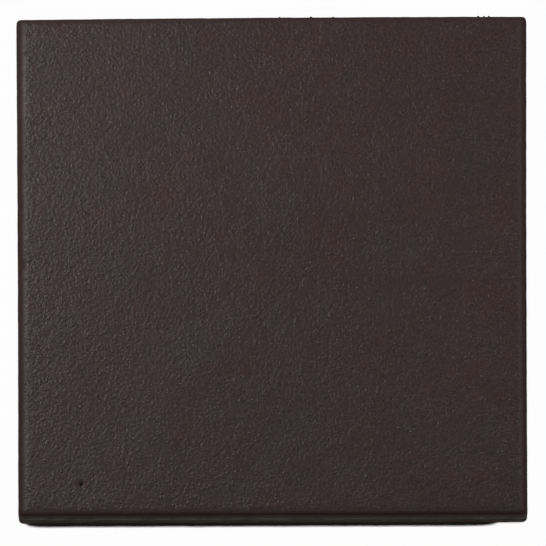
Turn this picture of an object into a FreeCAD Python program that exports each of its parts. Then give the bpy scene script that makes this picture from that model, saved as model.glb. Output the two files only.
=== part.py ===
# One fired clay quarry tile, lying on its keyed back with the wearing face up.
# Millimetres. +X runs along the way the clay was extruded, +Y across it, +Z out of the
# wearing face. The origin is the middle of the bedding plane.
import FreeCAD, Part
import os

# Overall sizes of the fired tile
LENGTH_X = 148.0         # between the two wire-cut ends
LENGTH_Y = 148.0         # between the two sides drawn by the die
THICKNESS = 12.5         # bedding plane to wearing face

# Edges
CORNER_RADIUS = 1.5      # the four upright corners
FACE_ARRIS = 1.2         # rounding between the wearing face and the sides
BACK_ARRIS = 0.8         # rounding between the sides and the bedding plane

# Keying grooves drawn along the back by the die, open at both cut ends
GROOVE_PITCH = 12.0      # centre to centre
GROOVE_MOUTH = 4.0       # width at the bedding plane
GROOVE_FLOOR = 3.0       # width at the bottom of the groove
GROOVE_DEPTH = 1.2
EDGE_LAND = 5.0          # least width of plain back left beside the outermost groove
CUTTER_OVERRUN = 1.0     # how far the groove cutter runs past the solid


def v(x, y, z):
    return FreeCAD.Vector(x, y, z)


def edges_at(shape, test):
    """The edges of a shape whose two end corners both pass a test."""
    return [e for e in shape.Edges if all(test(corner.Point) for corner in e.Vertexes)]


def slab():
    """The plain body: a square block with its upright corners and both rims rounded."""
    block = Part.makeBox(LENGTH_X, LENGTH_Y, THICKNESS, v(-LENGTH_X / 2, -LENGTH_Y / 2, 0))
    upright = [e for e in block.Edges if abs(e.Vertexes[0].Z - e.Vertexes[1].Z) > THICKNESS / 2]
    block = block.makeFillet(CORNER_RADIUS, upright)
    face_rim = edges_at(block, lambda p: abs(p.z - THICKNESS) < 1e-6)
    block = block.makeFillet(FACE_ARRIS, face_rim)
    back_rim = edges_at(block, lambda p: abs(p.z) < 1e-6)
    return block.makeFillet(BACK_ARRIS, back_rim)


def groove_places():
    """The Y of each groove: pairs either side of the middle land, as many as the back holds."""
    outermost = LENGTH_Y / 2 - BACK_ARRIS - EDGE_LAND - GROOVE_MOUTH / 2
    places = []
    y = GROOVE_PITCH / 2
    while y <= outermost:
        places += [-y, y]
        y += GROOVE_PITCH
    return sorted(places)


def groove_cutter(y):
    """A bar of the groove's section, standing a little below the back and past both ends."""
    slope = (GROOVE_MOUTH - GROOVE_FLOOR) / 2 / GROOVE_DEPTH
    low_half = GROOVE_MOUTH / 2 + slope * CUTTER_OVERRUN
    top_half = GROOVE_FLOOR / 2
    x = -LENGTH_X / 2 - CUTTER_OVERRUN
    corners = [
        v(x, y - low_half, -CUTTER_OVERRUN),
        v(x, y + low_half, -CUTTER_OVERRUN),
        v(x, y + top_half, GROOVE_DEPTH),
        v(x, y - top_half, GROOVE_DEPTH),
    ]
    section = Part.Face(Part.makePolygon(corners + corners[:1]))
    return section.extrude(v(LENGTH_X + 2 * CUTTER_OVERRUN, 0, 0))


def tile():
    body = slab()
    for y in groove_places():
        body = body.cut(groove_cutter(y))
    return body.removeSplitter()


os.makedirs("parts", exist_ok=True)
shape = tile().Solids[0]
shape.exportStep("parts/tile.step")
box = shape.optimalBoundingBox(False, False)
print("tile", "valid", shape.isValid(), "volume cm3", round(shape.Volume / 1000, 3),
      "box", round(box.XLength, 3), round(box.YLength, 3), round(box.ZLength, 3),
      "grooves", len(groove_places()))
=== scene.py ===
import math
import bpy
from mathutils import Matrix, Vector


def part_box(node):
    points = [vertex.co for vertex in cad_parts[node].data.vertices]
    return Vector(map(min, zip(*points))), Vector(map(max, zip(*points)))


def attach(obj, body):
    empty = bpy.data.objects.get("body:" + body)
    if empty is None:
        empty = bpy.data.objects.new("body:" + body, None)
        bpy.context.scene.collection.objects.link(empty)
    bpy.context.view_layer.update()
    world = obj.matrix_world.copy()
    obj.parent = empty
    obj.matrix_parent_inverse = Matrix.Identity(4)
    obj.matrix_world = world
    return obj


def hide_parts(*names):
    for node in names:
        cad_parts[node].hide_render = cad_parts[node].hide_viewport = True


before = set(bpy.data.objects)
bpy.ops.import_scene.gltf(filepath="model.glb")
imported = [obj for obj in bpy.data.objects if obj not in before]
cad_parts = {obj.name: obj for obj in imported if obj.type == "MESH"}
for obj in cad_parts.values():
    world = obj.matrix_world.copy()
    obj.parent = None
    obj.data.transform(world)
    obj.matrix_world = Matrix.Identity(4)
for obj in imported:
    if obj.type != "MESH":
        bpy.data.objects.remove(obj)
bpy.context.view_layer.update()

TILE_LOW, TILE_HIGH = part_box("tile")
M_PER_MM = 0.001

# The fired tile, in millimetres
LENGTH_X, LENGTH_Y, THICKNESS = [(high - low) / M_PER_MM for low, high in zip(TILE_LOW, TILE_HIGH)]
CORNER_RADIUS = 1.5       # upright corners
ARRIS_WIDTH = 3.2         # eased rim of the wearing face at the cut ends, measured across the face
SIDE_ARRIS_WIDTH = 2.0    # the same rim at the front and back
ARRIS_DEPTH = 1.4         # the same rim, measured down the side
BACK_ARRIS = 0.8
GROOVE_PITCH = 12.0       # keying grooves of the back
GROOVE_MOUTH = 4.0
GROOVE_FLOOR = 3.0
GROOVE_DEPTH = 1.2
GROOVES = 12
DRAG_LINE = 6.5           # height of the ridge where the smooth skin of the side ends
FACE_ROOM = 0.10          # the face lies this far under the full thickness, to leave room for swells
SWELL_LAYER = 6           # height at which the pattern of those swells is cut through
NEAR_EASE = (0.07, 2.4)   # fall of the face towards its edge, and how far in it reaches
FAR_EASE = (0.05, 6.0)

# Rows of the mesh
ROWS_PER_GROOVE = 14      # rows in one groove pitch
ARRIS_ROWS = 6
MATT_RIM_ROWS = 3         # outer rows of the arris, where the satin skin is gone
FACE_ROWS = GROOVES * ROWS_PER_GROOVE + 2 * ARRIS_ROWS
SIDE_ROWS = 18

# Pits in the wearing face: x, y, radius, depth in millimetres
PITS = [
    (-55.2, -64.8, 0.60, 0.95),
    (-69.7, 0.3, 0.40, 0.26),
    (-54.6, -42.2, 0.38, 0.24),
    (-30.9, -37.6, 0.34, 0.24),
    (-60.5, 13.0, 0.36, 0.22),
]
# The brightest grits in the wearing face, partly painted glints: x, y in millimetres
GRIT_AND_GLINT_SPOTS = [
    (-46.7, 42.3), (-55.4, -41.9), (-35.2, 67.5), (-40.1, -51.2),
    (28.5, -52.0), (-31.6, 0.4), (14.2, 67.3), (-4.5, 52.8),
    (-22.8, -23.9), (8.8, -52.8), (5.9, 27.0), (-21.0, -45.0),
    (-52.4, -72.2), (-55.9, -72.2), (-51.3, -68.9), (-50.5, -56.8),
]
GRIT_AND_GLINT_SIZE = (0.12, 0.34)  # radius of each pale spot's middle, and of its soft edge
# Crumbs of clay fired on to the back rim: x, radius in millimetres
BACK_RIM_CRUMBS = [(2.4, 0.30), (11.5, 0.34), (17.9, 0.26), (59.9, 0.36), (61.6, 0.30), (63.0, 0.34)]
BACK_CRUMB_INSET = 0.32   # how far in from the edge those crumbs sit, and how far under the face
BACK_CRUMB_DROP = 1.25
CRUMB_DRAW_IN = 0.9982    # keeps the crumbs of the sides within the tile's nominal size
CRUMB_TURN = 6.28         # radians, about one full turn
PIT_REACH = 3.4           # how far round a pit the mesh is drawn in towards it
PIT_PULL = 0.8            # how hard it is drawn in: 1 leaves it even


# ---- Node trees -----------------------------------------------------------------------------

class Field:
    """An output of a node tree that sums, products and powers can be made of, like a number."""

    def __init__(self, net, socket):
        self.net = net
        self.socket = socket

    def __add__(self, other):
        return self.net.math("ADD", self, other)

    def __radd__(self, other):
        return self.net.math("ADD", other, self)

    def __sub__(self, other):
        return self.net.math("SUBTRACT", self, other)

    def __rsub__(self, other):
        return self.net.math("SUBTRACT", other, self)

    def __mul__(self, other):
        return self.net.math("MULTIPLY", self, other)

    def __rmul__(self, other):
        return self.net.math("MULTIPLY", other, self)

    def __truediv__(self, other):
        return self.net.math("DIVIDE", self, other)

    def __pow__(self, other):
        return self.net.math("POWER", self, other)

    def __neg__(self):
        return self.net.math("MULTIPLY", self, -1.0)

    def __abs__(self):
        return self.net.math("ABSOLUTE", self)


class Net:
    """Adds nodes to one tree and links them as they are used."""

    def __init__(self, tree):
        self.tree = tree

    def feed(self, socket, value):
        if isinstance(value, Field):
            value = value.socket
        if isinstance(value, bpy.types.NodeSocket):
            self.tree.links.new(value, socket)
        else:
            socket.default_value = value

    def add(self, kind, feeds=None, **settings):
        node = self.tree.nodes.new(kind)
        for name, value in settings.items():
            setattr(node, name, value)
        for key, value in (feeds or {}).items():
            self.feed(node.inputs[key], value)
        return node

    def math(self, operation, *terms):
        node = self.add("ShaderNodeMath", dict(enumerate(terms)), operation=operation)
        return Field(self, node.outputs[0])

    def clamp(self, value, low=0.0, high=1.0):
        node = self.add("ShaderNodeClamp", {"Value": value, "Min": low, "Max": high})
        return Field(self, node.outputs[0])

    def smooth(self, value, low, high):
        """0 below low, 1 above high, and a soft step between them."""
        feeds = {"Value": value, "From Min": low, "From Max": high}
        node = self.add("ShaderNodeMapRange", feeds, interpolation_type="SMOOTHSTEP")
        return Field(self, node.outputs["Result"])

    def blend(self, share, first, second):
        return first + (second - first) * share

    def vector(self, x, y, z):
        node = self.add("ShaderNodeCombineXYZ", {"X": x, "Y": y, "Z": z})
        return Field(self, node.outputs[0])

    def parts(self, vector):
        node = self.add("ShaderNodeSeparateXYZ", {0: vector})
        return [Field(self, socket) for socket in node.outputs]

    def scaled(self, vector, x, y, z):
        node = self.add("ShaderNodeVectorMath", {0: vector, 1: (x, y, z)}, operation="MULTIPLY")
        return Field(self, node.outputs[0])

    def noise(self, vector, scale, detail=2.0, roughness=0.5):
        """Even noise about 0, from about -0.5 to 0.5."""
        feeds = {"Vector": vector, "Scale": scale, "Detail": detail, "Roughness": roughness}
        node = self.add("ShaderNodeTexNoise", feeds)
        return Field(self, node.outputs[0]) - 0.5

    def group(self, tree, **feeds):
        kind = "GeometryNodeGroup" if self.tree.bl_idname == "GeometryNodeTree" else "ShaderNodeGroup"
        node = self.add(kind, node_tree=tree)
        for name, value in feeds.items():
            self.feed(node.inputs[name.replace("_", " ")], value)
        return node


def new_tree(name, kind, inputs, outputs):
    """An empty node tree with named sockets: {name: (socket type, default)} and {name: type}."""
    tree = bpy.data.node_groups.new(name, kind)
    for label, (socket_type, default) in inputs.items():
        socket = tree.interface.new_socket(name=label, in_out="INPUT", socket_type=socket_type)
        if default is not None:
            socket.default_value = default
    for label, socket_type in outputs.items():
        tree.interface.new_socket(name=label, in_out="OUTPUT", socket_type=socket_type)
    net = Net(tree)
    source = tree.nodes.new("NodeGroupInput")
    return tree, net, {s.name: Field(net, s) for s in source.outputs if s.name}


def give(net, **results):
    sink = net.tree.nodes.new("NodeGroupOutput")
    for name, value in results.items():
        net.feed(sink.inputs[name.replace("_", " ")], value)


# ---- Shape of the tile ------------------------------------------------------------------------

def row_inset(net, along, half, rim_width):
    """How far a row of the starting cube lies in from the edge: close rows on the rim, even ones inside."""
    rows_in = (1 - abs(along)) * (FACE_ROWS / 2)
    rim_turn = net.clamp(1 - rows_in / ARRIS_ROWS)
    rim = rim_width * (1 - net.math("SINE", rim_turn * (math.pi / 2)))
    inside = net.clamp((rows_in - ARRIS_ROWS) / (FACE_ROWS / 2 - ARRIS_ROWS))
    return rim + (half - rim_width) * inside


def rim_drop(net, inset, width, depth, roundness):
    """How far an eased rim falls below its face: part quarter ellipse, part plain curve."""
    share = net.clamp(1 - inset / width)
    ellipse = 1 - net.math("SQRT", 1 - share * share)
    return depth * net.blend(roundness, share * share, ellipse)


def groove_section(net, y, sizes):
    """Moves the rows of the back on to the groove's corners, and gives the groove's depth there."""
    pitch, mouth, floor = sizes["Groove pitch"], sizes["Groove mouth"], sizes["Groove floor"]
    turn = y / pitch - 0.5
    number = net.math("ROUND", turn)
    away = (turn - number) * pitch
    row = abs(away) / (pitch / ROWS_PER_GROOVE)
    wall = (mouth - floor) / 2
    moved = floor / 2 * net.clamp(row / 2) + wall * net.clamp(row - 2)
    land_rows = ROWS_PER_GROOVE / 2 - 3
    moved = moved + (pitch - mouth) / 2 * net.clamp((row - 3) / land_rows)
    in_field = net.math("LESS_THAN", abs(y), pitch * (GROOVES / 2) + 0.001)
    snapped = (number + 0.5) * pitch + net.math("SIGN", away) * moved
    depth = sizes["Groove depth"] * net.clamp((mouth / 2 - moved) / wall)
    return net.blend(in_field, y, snapped), depth * in_field


def round_corner(net, x, y, inset, half_x, half_y, radius):
    """Rounds the upright corners, and gives the way out from the tile at each point."""
    left = net.math("MAXIMUM", radius - inset, 0.02)
    flat_x = net.math("MAXIMUM", half_x - inset - left, 0.0)
    flat_y = net.math("MAXIMUM", half_y - inset - left, 0.0)
    core_x = net.clamp(x, -flat_x, flat_x)
    core_y = net.clamp(y, -flat_y, flat_y)
    away_x, away_y = x - core_x, y - core_y
    away = net.math("SQRT", away_x * away_x + away_y * away_y)
    out_x, out_y = away_x / away, away_y / away
    return core_x + out_x * left, core_y + out_y * left, out_x, out_y


def face_ease(net, inset, fall, reach):
    """A soft fall of the face towards its edge."""
    return fall * net.math("EXPONENT", -inset / reach)


def ridge_wander(net, place):
    """How far the drag line wanders up and down the side, in millimetres."""
    return net.noise(net.scaled(place, 0.03, 0.03, 0.0), 1.0) * 1.2


def kiln_warp(net, x, y, half_x, half_y, sizes):
    """The firing bows the cut ends in, narrows the front, and leaves the back crowned and out of square."""
    across, along = x / half_x, y / half_y
    bow = sizes["End bow"] * (1 - along * along) + sizes["Front taper"] * (1 - along) / 4
    crown = sizes["Back crown"] * across * across + sizes["Back skew"] * (1 - across) / 2
    return x - bow * across, y - crown * (1 + along) / 2


def side_setback(net, z, place, sizes):
    """How far the side lies in: a smooth skin that leans out to the drag line, and torn clay under it."""
    ridge = sizes["Drag line"]
    wander = ridge_wander(net, place)
    above = net.clamp((z - ridge - wander) / (sizes["Thickness"] - ridge))
    below = net.smooth(ridge + wander - z, 0.1, 0.9)
    torn = net.noise(net.scaled(place, 0.10, 0.10, 0.9), 1.0, 3.0, 0.6) * 0.45 + 0.08
    return sizes["Skin lean"] * above + below * net.math("MAXIMUM", torn, 0.0)


def press_pits(net, x, y, z, on_face):
    """Draws the mesh in towards each pit, sinks its middle and lifts a small lip round it."""
    for pit_x, pit_y, radius, depth in PITS:
        away_x, away_y = x - pit_x, y - pit_y
        away = net.math("SQRT", away_x * away_x + away_y * away_y)
        pinch = net.clamp(away / PIT_REACH) ** PIT_PULL
        pinch = net.blend(on_face, 1.0, pinch)
        x, y = away_x * pinch + pit_x, away_y * pinch + pit_y
        drawn = away * pinch
        hollow = 1 - net.smooth(drawn, radius * 0.35, radius * 1.05)
        lip_away = (drawn - radius * 1.35) / (radius * 0.35)
        lip = net.math("EXPONENT", -(lip_away * lip_away)) * (depth * 0.10)
        z = z + (lip - hollow * depth) * on_face
    return x, y, z


def slab(net, sizes):
    """The tile's body, in millimetres: a cube of rows moved on to the tile's surface by formula."""
    cube = net.add("GeometryNodeMeshCube", {
        "Size": (2, 2, 2), "Vertices X": FACE_ROWS + 1, "Vertices Y": FACE_ROWS + 1,
        "Vertices Z": SIDE_ROWS + 1})
    a, b, c = net.parts(net.add("GeometryNodeInputPosition").outputs[0])
    rows_in = (1 - net.math("MAXIMUM", abs(a), abs(b))) * (FACE_ROWS / 2)
    skin = net.math("COMPARE", c, 1.0, 0.001) * net.math("GREATER_THAN", rows_in, MATT_RIM_ROWS)
    zone_of_face = skin + 2 * net.math("COMPARE", c, -1.0, 0.001)
    zoned = net.add("GeometryNodeStoreNamedAttribute", {
        "Geometry": cube.outputs["Mesh"], "Name": "zone", "Value": zone_of_face},
        data_type="INT", domain="FACE")

    half_x, half_y = sizes["Length X"] / 2, sizes["Length Y"] / 2
    rise = (c + 1) / 2
    rim_land = half_y - sizes["Groove pitch"] * (GROOVES / 2)
    rim_width = net.blend(rise, rim_land, sizes["Arris width"])
    inset_x = row_inset(net, a, half_x, rim_width)
    inset_y = row_inset(net, b, half_y, rim_width)
    inset = net.math("MINIMUM", inset_x, inset_y)
    flat_x = net.math("SIGN", a) * (half_x - inset_x)
    flat_y = net.math("SIGN", b) * (half_y - inset_y)
    groove_y, groove_depth = groove_section(net, flat_y, sizes)
    flat_y = net.blend(rise, groove_y, flat_y)

    x, y, out_x, out_y = round_corner(net, flat_x, flat_y, inset, half_x, half_y,
                                      sizes["Corner radius"])
    x, y = kiln_warp(net, x, y, half_x, half_y, sizes)

    on_face = net.math("COMPARE", c, 1.0, 0.001)
    place = net.vector(x, y, c * SWELL_LAYER)
    swell = net.noise(place, 0.035, 1.0) * 0.16 + net.noise(place, 0.16, 2.0) * 0.045
    ease = face_ease(net, inset, *NEAR_EASE) + face_ease(net, inset, *FAR_EASE)
    end_drop = rim_drop(net, inset_x, sizes["Arris width"], sizes["Arris depth"], 0.4)
    side_drop = rim_drop(net, inset_y, sizes["Side arris width"], sizes["Arris depth"], 0.4)
    top = sizes["Thickness"] - FACE_ROOM - net.math("MAXIMUM", end_drop, side_drop)
    top = top - ease + swell * on_face * net.clamp(inset / 3)
    back_rise = rim_drop(net, inset, BACK_ARRIS, BACK_ARRIS, 1.0)
    bottom = groove_depth + back_rise * (1 - 0.5 * groove_depth / sizes["Groove depth"])
    z = net.blend(rise, bottom, top)

    place = net.vector(x, y, z)
    near_rim = net.math("EXPONENT", -inset / 2.2)
    ragged = net.noise(place, sizes["Edge wander scale"], 3.0, 0.6) * sizes["Edge wander"]
    ragged = net.math("MAXIMUM", ragged + sizes["Edge wander"] * 0.35, 0.0)
    back_from_edge = (ragged + side_setback(net, z, place, sizes)) * near_rim
    x, y = x - out_x * back_from_edge, y - out_y * back_from_edge
    x, y, z = press_pits(net, x, y, z, on_face)
    moved = net.add("GeometryNodeSetPosition", {
        "Geometry": zoned.outputs[0], "Position": net.vector(x, y, z)})
    return moved.outputs[0]


def clay_crumb(net):
    """One lump of clay of radius 1, squashed and uneven."""
    ball = net.add("GeometryNodeMeshIcoSphere", {"Radius": 1.0, "Subdivisions": 2})
    place = net.add("GeometryNodeInputPosition").outputs[0]
    swell = net.noise(place, 1.3, 1.0) * 0.6 + 1.0
    stretch = net.add("ShaderNodeVectorMath", {0: place, "Scale": swell}, operation="SCALE")
    lump = net.add("GeometryNodeSetPosition", {
        "Geometry": ball.outputs["Mesh"], "Position": stretch.outputs[0]})
    return lump.outputs[0]


def crumb_places(net, body, sizes):
    """Crumbs scattered over the sides by seed, and the ones on the back rim put there one by one."""
    zone = net.add("GeometryNodeInputNamedAttribute", {"Name": "zone"}, data_type="INT")
    on_side = net.math("COMPARE", Field(net, zone.outputs[0]), 0.0, 0.5)
    scattered = net.add("GeometryNodeDistributePointsOnFaces", {
        "Mesh": body, "Selection": on_side, "Density": sizes["Crumb density"],
        "Seed": sizes["Seed"]})
    size = net.add("FunctionNodeRandomValue", {
        2: sizes["Crumb radius"] * 0.5, 3: sizes["Crumb radius"], "Seed": sizes["Seed"]})
    sized = net.add("GeometryNodeStoreNamedAttribute", {
        "Geometry": scattered.outputs["Points"], "Name": "crumb_radius", "Value": size.outputs[1]},
        data_type="FLOAT", domain="POINT")
    place = net.add("GeometryNodeInputPosition").outputs[0]
    drawn_in = net.scaled(place, CRUMB_DRAW_IN, CRUMB_DRAW_IN, 1.0)
    sunk = net.add("GeometryNodeSetPosition", {"Geometry": sized.outputs[0], "Position": drawn_in})
    join = net.add("GeometryNodeJoinGeometry")
    net.feed(join.inputs[0], sunk.outputs[0])
    half_x, half_y = sizes["Length X"] / 2, sizes["Length Y"] / 2
    for crumb_x, radius in BACK_RIM_CRUMBS:
        x, y = kiln_warp(net, net.math("ADD", crumb_x, 0.0), half_y, half_x, half_y, sizes)
        spot = net.vector(x, y - BACK_CRUMB_INSET, sizes["Thickness"] - BACK_CRUMB_DROP)
        point = net.add("GeometryNodePoints", {"Count": 1, "Position": spot, "Radius": radius})
        marked = net.add("GeometryNodeStoreNamedAttribute", {
            "Geometry": point.outputs[0], "Name": "crumb_radius", "Value": radius},
            data_type="FLOAT", domain="POINT")
        net.feed(join.inputs[0], marked.outputs[0])
    return join.outputs[0]


TILE_INPUTS = {
    "Length X": LENGTH_X,
    "Length Y": LENGTH_Y,
    "Thickness": THICKNESS,
    "Corner radius": CORNER_RADIUS,
    "Arris width": ARRIS_WIDTH,
    "Side arris width": SIDE_ARRIS_WIDTH,
    "Arris depth": ARRIS_DEPTH,
    "Groove pitch": GROOVE_PITCH,
    "Groove mouth": GROOVE_MOUTH,
    "Groove floor": GROOVE_FLOOR,
    "Groove depth": GROOVE_DEPTH,
    "Drag line": DRAG_LINE,
    "End bow": 0.14,
    "Front taper": 1.20,
    "Back crown": 0.22,
    "Back skew": 0.50,
    "Skin lean": 0.16,
    "Edge wander": 0.26,
    "Edge wander scale": 0.22,
    "Crumb density": 0.012,
    "Crumb radius": 0.20,
}
CRUMB_SEED = 7


def tile_tree(face_clay, side_clay, back_clay):
    inputs = {name: ("NodeSocketFloat", value) for name, value in TILE_INPUTS.items()}
    inputs["Seed"] = ("NodeSocketInt", CRUMB_SEED)
    tree, net, sizes = new_tree("fired_tile", "GeometryNodeTree", inputs,
                                {"Geometry": "NodeSocketGeometry"})
    body = slab(net, sizes)
    points = crumb_places(net, body, sizes)
    radius = net.add("GeometryNodeInputNamedAttribute", {"Name": "crumb_radius"}, data_type="FLOAT")
    turn = net.add("FunctionNodeRandomValue", {
        0: (0, 0, 0), 1: (CRUMB_TURN, CRUMB_TURN, CRUMB_TURN), "Seed": sizes["Seed"]},
        data_type="FLOAT_VECTOR")
    crumbs = net.add("GeometryNodeInstanceOnPoints", {
        "Points": points, "Instance": clay_crumb(net), "Rotation": turn.outputs[0],
        "Scale": radius.outputs[0]})
    join = net.add("GeometryNodeJoinGeometry")
    net.feed(join.inputs[0], body)
    net.feed(join.inputs[0], crumbs.outputs[0])
    metres = net.add("GeometryNodeTransform", {
        "Geometry": join.outputs[0], "Scale": (M_PER_MM, M_PER_MM, M_PER_MM)})
    soft = net.add("GeometryNodeSetShadeSmooth", {"Geometry": metres.outputs[0]})
    result = net.add("GeometryNodeRealizeInstances", {"Geometry": soft.outputs[0]}).outputs[0]
    zone = net.add("GeometryNodeInputNamedAttribute", {"Name": "zone"}, data_type="INT")
    for number, clay in enumerate((side_clay, face_clay, back_clay)):
        here = net.math("COMPARE", Field(net, zone.outputs[0]), float(number), 0.5)
        result = net.add("GeometryNodeSetMaterial", {
            "Geometry": result, "Selection": here, "Material": clay}).outputs[0]
    give(net, Geometry=result)
    return tree


def plain_mesh(tree, name, values):
    """The tree's result as a plain mesh object."""
    carrier = bpy.data.objects.new(name, bpy.data.meshes.new(name))
    bpy.context.scene.collection.objects.link(carrier)
    modifier = carrier.modifiers.new("shape", "NODES")
    modifier.node_group = tree
    for item in tree.interface.items_tree:
        if item.in_out == "INPUT" and item.name in values:
            modifier[item.identifier] = values[item.name]
    evaluated = carrier.evaluated_get(bpy.context.evaluated_depsgraph_get())
    mesh = bpy.data.meshes.new_from_object(evaluated)
    carrier.modifiers.clear()
    carrier.data = mesh
    mesh.name = name
    for extra in ("zone", "crumb_radius"):
        if extra in mesh.attributes:
            mesh.attributes.remove(mesh.attributes[extra])
    return carrier


# ---- Clay finishes ----------------------------------------------------------------------------

def millimetres(net):
    """The piece's own coordinates in millimetres."""
    place = net.add("ShaderNodeTexCoord").outputs["Object"]
    return net.scaled(place, 1 / M_PER_MM, 1 / M_PER_MM, 1 / M_PER_MM)


def mixed(net, share, first, second):
    """A colour mix."""
    node = net.add("ShaderNodeMix", {"Factor": share}, data_type="RGBA")
    net.feed(node.inputs[6], first)
    net.feed(node.inputs[7], second)
    return Field(net, node.outputs[2])


def grain_tree():
    """The fine pimpled skin of pressed clay, as a height in millimetres, and a mask of its hollows."""
    inputs = {
        "Vector": ("NodeSocketVector", None),
        "Grain size": ("NodeSocketFloat", 1.0),
        "Grain height": ("NodeSocketFloat", 0.03),
        "Tooth height": ("NodeSocketFloat", 0.006),
    }
    tree, net, ins = new_tree("clay_grain", "ShaderNodeTree", inputs, {
        "Height": "NodeSocketFloat", "Hollows": "NodeSocketFloat"})
    pimples = net.noise(ins["Vector"], net.math("DIVIDE", 1.0, ins["Grain size"]), 2.0, 0.45)
    waves = net.noise(ins["Vector"], 0.35, 1.0)
    tooth = net.noise(ins["Vector"], 3.2, 2.0, 0.6)
    cells = net.add("ShaderNodeTexVoronoi", {
        "Vector": ins["Vector"], "Scale": net.math("DIVIDE", 0.70, ins["Grain size"])})
    chance = net.parts(cells.outputs["Color"])[0]
    proud = chance * chance * (1 - net.smooth(Field(net, cells.outputs["Distance"]), 0.05, 0.42))
    height = (pimples * 0.80 + proud * 0.62 + waves * 0.4) * ins["Grain height"]
    height = height + tooth * ins["Tooth height"]
    give(net, Height=height, Hollows=net.smooth(-pimples, 0.02, 0.16))
    return tree


def mottle_tree():
    """Soft patches of redder and greyer clay left by the firing."""
    inputs = {
        "Vector": ("NodeSocketVector", None),
        "Patch size": ("NodeSocketFloat", 14.0),
        "Red clay": ("NodeSocketColor", None),
        "Grey clay": ("NodeSocketColor", None),
        "Cloud": ("NodeSocketFloat", 0.12),
        "Grain tint": ("NodeSocketFloat", 0.70),
    }
    tree, net, ins = new_tree("kiln_mottle", "ShaderNodeTree", inputs, {"Color": "NodeSocketColor"})
    scale = net.math("DIVIDE", 1.0, ins["Patch size"])
    small = net.noise(ins["Vector"], net.math("MULTIPLY", scale, 6.0), 2.0)
    patches = net.smooth(net.noise(ins["Vector"], scale, 3.0, 0.6) + small * 0.8, -0.25, 0.25)
    base = mixed(net, patches, ins["Red clay"], ins["Grey clay"])
    cloud = net.noise(ins["Vector"], net.math("MULTIPLY", scale, 0.4), 2.0) * ins["Cloud"] * 2
    fine = net.noise(ins["Vector"], 0.45, 2.0) * ins["Cloud"] * 3
    grains = net.noise(ins["Vector"], 1.3, 1.0) * ins["Grain tint"] * 2
    level = 1 + cloud + fine + grains
    lit = net.add("ShaderNodeVectorMath", {0: base, "Scale": level}, operation="SCALE")
    give(net, Color=lit.outputs[0])
    return tree


def specks_tree():
    """Tiny scattered marks, such as grit or pinholes: a mask, one mark in some of its cells."""
    inputs = {
        "Vector": ("NodeSocketVector", None),
        "Spacing": ("NodeSocketFloat", 6.0),
        "Radius": ("NodeSocketFloat", 0.25),
        "Share": ("NodeSocketFloat", 0.5),
    }
    tree, net, ins = new_tree("scattered_specks", "ShaderNodeTree", inputs, {"Mask": "NodeSocketFloat"})
    scale = net.math("DIVIDE", 1.0, ins["Spacing"])
    cells = net.add("ShaderNodeTexVoronoi", {"Vector": ins["Vector"], "Scale": scale})
    away = Field(net, cells.outputs["Distance"]) * ins["Spacing"]
    red, green, _ = net.parts(cells.outputs["Color"])
    chosen = net.math("LESS_THAN", red, ins["Share"])
    radius = ins["Radius"] * (0.5 + green * 0.8)
    give(net, Mask=(1 - net.smooth(away, radius * 0.45, radius)) * chosen)
    return tree


def drag_tree():
    """Long scratches dragged round the side by the die and the wire, as a height and a mask."""
    inputs = {
        "Vector": ("NodeSocketVector", None),
        "Line spacing": ("NodeSocketFloat", 0.8),
        "Line length": ("NodeSocketFloat", 14.0),
        "Depth": ("NodeSocketFloat", 0.08),
    }
    tree, net, ins = new_tree("drag_lines", "ShaderNodeTree", inputs, {
        "Height": "NodeSocketFloat", "Streaks": "NodeSocketFloat"})
    x, y, z = net.parts(ins["Vector"])
    long_way = net.vector(x / ins["Line length"], y / ins["Line length"], z / ins["Line spacing"])
    streaks = net.noise(long_way, 1.0, 3.0, 0.6)
    torn = net.noise(net.vector(x / 1.8, y / 1.8, z / 0.7), 1.0, 2.0, 0.6)
    give(net, Height=(streaks + torn * 0.8) * ins["Depth"], Streaks=net.smooth(streaks, -0.15, 0.2))
    return tree


RED_CLAY = (0.0376, 0.0178, 0.0170, 1)      # the red side of the fired brown
GREY_CLAY = (0.0352, 0.0186, 0.0180, 1)     # the grey side of it
RIM_PAINTED_SHADE = (0.0290, 0.0150, 0.0115, 1)      # painted shade: darker, browner colour on the rim
# pale grit, also used for painted glints
PALE_GRIT_AND_GLINT = (0.120, 0.098, 0.090, 1)
# near black: painted shade in pits, pinholes and the grain's hollows
PAINTED_HOLLOW_SHADE = (0.006, 0.005, 0.004, 1)
SIDE_RED_CLAY = (0.0480, 0.0350, 0.0300, 1)
SIDE_GREY_CLAY = (0.0490, 0.0385, 0.0340, 1)
SIDE_TORN_AND_HIGHLIGHT = (0.150, 0.124, 0.108, 1)        # pale: clay torn under the drag line, and painted highlight along it
BACK_RED_CLAY = (0.0340, 0.0165, 0.0140, 1)
BACK_GREY_CLAY = (0.0300, 0.0190, 0.0165, 1)
BACK_DUST = (0.110, 0.085, 0.072, 1)

# Depths under the full thickness, in millimetres, between which a finish or a painted shade changes
RIM_SKIN = (0.80, 0.14)                     # skin gone off the rim, and whole on the face; the rim also gets painted shade there
PIT_SHADE = (0.80, 0.45)                    # painted shade in a pit, and clear of it
SIDE_ARRIS = (2.2, 1.5)                     # side clay, and the painted shade of the rim
PIT_FIELD = LENGTH_Y / 2 - 4                # pits lie this near the middle, so the rim doesn't get the pits' painted shade
SATIN = 0.42                                # roughness of the wearing face


class Finishes:
    """The groups that the tile's three finishes share."""

    def __init__(self):
        self.grain = grain_tree()
        self.mottle = mottle_tree()
        self.specks = specks_tree()
        self.drag = drag_tree()


def shaded(name, roughness_level):
    """A new material, its net and its one shader."""
    material = bpy.data.materials.new(name)
    material.use_nodes = True
    net = Net(material.node_tree)
    shader = material.node_tree.nodes["Principled BSDF"]
    shader.inputs["Roughness"].default_value = roughness_level
    return material, net, shader


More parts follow.
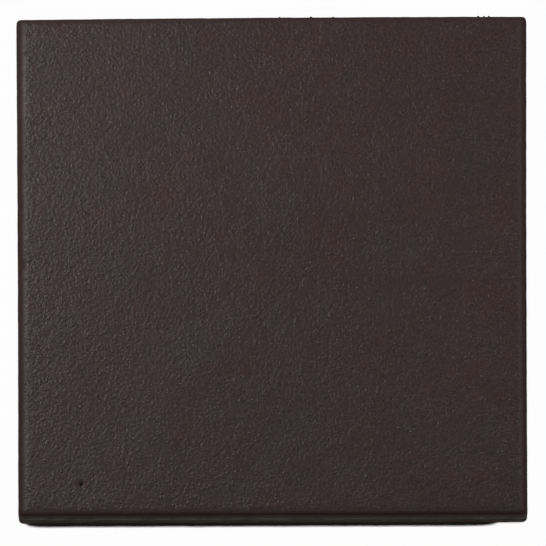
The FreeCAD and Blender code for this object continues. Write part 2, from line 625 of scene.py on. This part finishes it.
def raised(net, height, shader):
    """Turns a height in millimetres into the shader's normal."""
    bump = net.add("ShaderNodeBump", {"Height": height, "Strength": 1.0, "Distance": M_PER_MM})
    net.feed(shader.inputs["Normal"], bump.outputs[0])


def face_finish(finishes):
    """Satin skin of the wearing face: fine pimpled grain, bright grits that are partly painted glints, and
    dark pinholes; pits, pinholes, grain hollows and rim get painted shade.
    """
    material, net, shader = shaded("wearing_face_clay", SATIN)
    shader.inputs["Specular IOR Level"].default_value = 0.32
    place = millimetres(net)
    colour = net.group(finishes.mottle, Vector=place, Patch_size=16.0, Red_clay=RED_CLAY,
                       Grey_clay=GREY_CLAY, Cloud=0.09).outputs["Color"]
    x, y, z = net.parts(place)
    rim = 1 - net.smooth(z, *[THICKNESS - depth for depth in RIM_SKIN])
    grain = net.group(finishes.grain, Vector=place, Grain_size=0.80, Grain_height=0.290,
                      Tooth_height=0.060)
    # pale grits, partly painted glints of the key light
    grit = net.group(finishes.specks, Vector=place, Spacing=4.4, Radius=0.24, Share=0.40)
    holes = net.group(finishes.specks, Vector=net.scaled(place, 1, 1, 0.4), Spacing=5.3, Radius=0.24,
                      Share=0.22)
    grit_and_glint_mask = Field(net, grit.outputs["Mask"]) * 0.45
    for grit_x, grit_y in GRIT_AND_GLINT_SPOTS:
        away_x, away_y = x - grit_x, y - grit_y
        away = net.math("SQRT", away_x * away_x + away_y * away_y)
        grit_and_glint_mask = net.math("MAXIMUM", grit_and_glint_mask, 1 - net.smooth(away, *GRIT_AND_GLINT_SIZE))
    hole_mask = Field(net, holes.outputs["Mask"])
    # painted shade in the grain's hollows
    colour = mixed(net, Field(net, grain.outputs["Hollows"]) * 0.25, colour, PAINTED_HOLLOW_SHADE)
    # painted shade darkens the rim
    colour = mixed(net, rim * 0.6, colour, RIM_PAINTED_SHADE)
    colour = mixed(net, grit_and_glint_mask * 0.8, colour, PALE_GRIT_AND_GLINT)
    # painted shade in the pits and pinholes
    inside = net.math("LESS_THAN", net.math("MAXIMUM", abs(x), abs(y)), PIT_FIELD)
    pit_painted_shade = (1 - net.smooth(z, *[THICKNESS - depth for depth in PIT_SHADE])) * inside
    colour = mixed(net, net.clamp(hole_mask * 0.9 + pit_painted_shade), colour, PAINTED_HOLLOW_SHADE)
    net.feed(shader.inputs["Base Color"], colour)
    uneven = net.noise(place, 0.12, 2.0) * 0.10
    net.feed(shader.inputs["Roughness"], uneven + SATIN + hole_mask * 0.4 + rim * 0.5)
    patchy = 1 + net.noise(place, 0.11, 3.0, 0.6) * 1.6
    height = Field(net, grain.outputs["Height"]) * patchy * (1 - rim * 0.6)
    height = height + grit_and_glint_mask * 0.05 - hole_mask * 0.12
    raised(net, height, shader)
    return material


def side_finish(finishes):
    """The sides and the rim's outer rows: smooth skin above the drag line, torn matt clay under it, a
    painted highlight along it and painted shade up at the rim.
    """
    material, net, shader = shaded("drawn_side_clay", 0.85)
    shader.inputs["Specular IOR Level"].default_value = 0.15
    place = millimetres(net)
    z = net.parts(place)[2]
    colour = net.group(finishes.mottle, Vector=place, Patch_size=9.0, Red_clay=SIDE_RED_CLAY,
                       Grey_clay=SIDE_GREY_CLAY, Cloud=0.20).outputs["Color"]
    drag = net.group(finishes.drag, Vector=place, Line_spacing=1.1, Line_length=6.0, Depth=0.16)
    streaks = Field(net, drag.outputs["Streaks"])
    torn = 1 - net.smooth(z + net.noise(net.scaled(place, 0.12, 0.12, 0.3), 1.0) * 2.0,
                          DRAG_LINE - 0.3, DRAG_LINE + 0.5)
    from_ridge = z + ridge_wander(net, place) - DRAG_LINE
    breaks = net.smooth(net.noise(net.scaled(place, 0.22, 0.22, 0.1), 1.0, 2.0), -0.12, 0.10)
    # painted highlight along the drag line's ridge, broken in places
    ridge_highlight = net.math("EXPONENT", -(from_ridge * from_ridge) / 2.0) * (0.45 + breaks * 0.75)
    tear_and_highlight = net.clamp(torn * streaks * 0.45 + ridge_highlight * (0.45 + streaks * 0.5))
    # pale torn streaks under the drag line, and the painted highlight
    colour = mixed(net, tear_and_highlight, colour, SIDE_TORN_AND_HIGHLIGHT)
    # painted shade on the side's top rows, next to the rim
    arris = net.smooth(z, *[THICKNESS - depth for depth in SIDE_ARRIS])
    colour = mixed(net, arris, colour, RIM_PAINTED_SHADE)
    net.feed(shader.inputs["Base Color"], colour)
    net.feed(shader.inputs["Roughness"], 0.80 + torn * 0.15)
    height = Field(net, drag.outputs["Height"]) * (0.25 + torn * 0.75)
    raised(net, height, shader)
    return material


def back_finish(finishes):
    """The keyed back: matt clay with drag lines along the grooves and pale bedding dust in them."""
    material, net, shader = shaded("keyed_back_clay", 0.9)
    place = millimetres(net)
    x, y, z = net.parts(place)
    colour = net.group(finishes.mottle, Vector=place, Patch_size=20.0, Red_clay=BACK_RED_CLAY,
                       Grey_clay=BACK_GREY_CLAY, Cloud=0.25).outputs["Color"]
    lines = net.group(finishes.drag, Vector=net.vector(x, z * 4, y), Line_spacing=0.9,
                      Line_length=40.0, Depth=0.06)
    streaks = Field(net, lines.outputs["Streaks"])
    grain = net.group(finishes.grain, Vector=place, Grain_size=1.6, Grain_height=0.05,
                      Tooth_height=0.02)
    dust = net.clamp(streaks * 0.25 + net.smooth(z, 0.4, GROOVE_DEPTH) * 0.25)
    colour = mixed(net, dust, colour, BACK_DUST)
    net.feed(shader.inputs["Base Color"], colour)
    net.feed(shader.inputs["Roughness"], 0.85 + streaks * 0.1)
    raised(net, Field(net, lines.outputs["Height"]) + Field(net, grain.outputs["Height"]), shader)
    return material


# ---- Studio -----------------------------------------------------------------------------------

FLOOR_RADIUS = 12.0
FLOOR_SIDES = 96
FLOOR_SEEN = 0.98                     # share of the floor that the camera sees as plain white
FLOOR_MIRRORED = (0.10, 0.20)         # distance from the middle where the tile starts to mirror that white
SHADOW_DEPTH = 0.993                  # how much of the white the darkest shadow takes away
CONTACT_REACH = 0.0020                # how far the tile darkens the floor in front of it
CONTACT_DARK = (0.36, 0.44)           # shut-in share where that shadow starts, and where it is full
CONTACT_TOWARDS = (0.0, 0.8, 0.6)     # that shadow is looked for towards the back
UNDER_TILE_REACH = 0.003              # the same for the floor in the grooves and close round the tile
UNDER_TILE_DARK = (0.40, 0.72)
CONTACT_LEFT = (-0.078, -0.066)       # x where the shadow in front fades in, at the left corner
CONTACT_RIGHT = (0.058, 0.073)        # x where it fades out again, at the right one
CAMERA_TILT = math.radians(12.9)      # from straight down, towards the front
CAMERA_ROLL = math.radians(-0.19)
CAMERA_LENS = 1150.0                  # millimetres, on a 36 mm sensor
VIEW_WIDTH = 0.15790                  # what the camera takes in at the tile
AIM = Vector((0.00026, 0.00020, 0.0))


def studio_floor():
    """A wide white floor, with a dark line of shadow where the tile stands on it and in its grooves."""
    mesh = bpy.data.meshes.new("studio_floor")
    turns = [2 * math.pi * i / FLOOR_SIDES for i in range(FLOOR_SIDES)]
    rim = [(FLOOR_RADIUS * math.cos(turn), FLOOR_RADIUS * math.sin(turn), 0.0) for turn in turns]
    mesh.from_pydata(rim, [], [list(range(FLOOR_SIDES))])
    floor = bpy.data.objects.new("studio_floor", mesh)
    bpy.context.scene.collection.objects.link(floor)
    material = bpy.data.materials.new("studio_white")
    material.use_nodes = True
    tree = material.node_tree
    tree.nodes.clear()
    net = Net(tree)
    matt = net.add("ShaderNodeBsdfDiffuse", {"Color": (0.35, 0.35, 0.35, 1)})
    open_air = net.add("ShaderNodeAmbientOcclusion", {
        "Distance": CONTACT_REACH, "Normal": net.vector(*CONTACT_TOWARDS)})
    x, y, _ = net.parts(net.add("ShaderNodeTexCoord").outputs["Object"])
    stood_on = net.smooth(x, *CONTACT_LEFT) * (1 - net.smooth(x, *CONTACT_RIGHT))
    shut_in = (1 - Field(net, open_air.outputs["AO"])) * stood_on
    shadow = net.smooth(shut_in, *CONTACT_DARK)
    roofed = net.add("ShaderNodeAmbientOcclusion", {"Distance": UNDER_TILE_REACH})
    under = net.smooth(1 - Field(net, roofed.outputs["AO"]), *UNDER_TILE_DARK)
    shadow = net.math("MAXIMUM", shadow, under)
    glow = net.add("ShaderNodeEmission", {"Color": (1, 1, 1, 1), "Strength": 1 - shadow * SHADOW_DEPTH})
    path = net.add("ShaderNodeLightPath")
    away = net.math("SQRT", x * x + y * y)
    camera, glossy, through = [
        Field(net, path.outputs[ray]) for ray in ("Is Camera Ray", "Is Glossy Ray", "Is Transmission Ray")]
    mirrored = (glossy + through) * net.smooth(away, *FLOOR_MIRRORED)
    seen = net.clamp(camera * FLOOR_SEEN + mirrored)
    mix = net.add("ShaderNodeMixShader", {0: seen, 1: matt.outputs[0], 2: glow.outputs[0]})
    out = net.add("ShaderNodeOutputMaterial")
    net.feed(out.inputs["Surface"], mix.outputs[0])
    mesh.materials.append(material)


def softbox(name, place, size, power):
    """A white lamp that faces the middle of the tile."""
    light = bpy.data.lights.new(name, "AREA")
    light.shape = "RECTANGLE"
    light.size, light.size_y = size
    light.energy = power
    lamp = bpy.data.objects.new(name, light)
    bpy.context.scene.collection.objects.link(lamp)
    lamp.location = place
    lamp.rotation_euler = (-Vector(place)).to_track_quat("-Z", "Y").to_euler()


def studio_light():
    softbox("key_left_back", (-0.27, 0.155, 0.35), (0.18, 0.17), 1.25)
    softbox("fill_right_back", (0.42, 0.16, 0.26), (0.36, 0.36), 0.85)
    softbox("low_front", (0.05, -0.60, 0.30), (0.50, 0.30), 0.45)
    world = bpy.data.worlds.new("studio_air")
    world.use_nodes = True
    world.node_tree.nodes["Background"].inputs["Color"].default_value = (0.25, 0.25, 0.25, 1)
    bpy.context.scene.world = world


def studio_camera():
    camera = bpy.data.cameras.new("camera")
    camera.lens = CAMERA_LENS
    camera.sensor_width = 36.0
    camera.clip_end = 60.0
    holder = bpy.data.objects.new("camera", camera)
    bpy.context.scene.collection.objects.link(holder)
    away = VIEW_WIDTH * CAMERA_LENS / camera.sensor_width
    turn = Matrix.Rotation(CAMERA_TILT, 4, "X") @ Matrix.Rotation(CAMERA_ROLL, 4, "Z")
    back = Vector((0, -math.sin(CAMERA_TILT), math.cos(CAMERA_TILT)))
    holder.matrix_world = Matrix.Translation(AIM + back * away) @ turn
    bpy.context.scene.camera = holder


def main():
    finishes = Finishes()
    tree = tile_tree(face_finish(finishes), side_finish(finishes), back_finish(finishes))
    values = dict(TILE_INPUTS, Seed=CRUMB_SEED)
    tile = plain_mesh(tree, "quarry_tile", values)
    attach(tile, "root")
    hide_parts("tile")
    studio_floor()
    studio_light()
    studio_camera()
    bpy.context.scene.view_settings.view_transform = "Standard"


main()
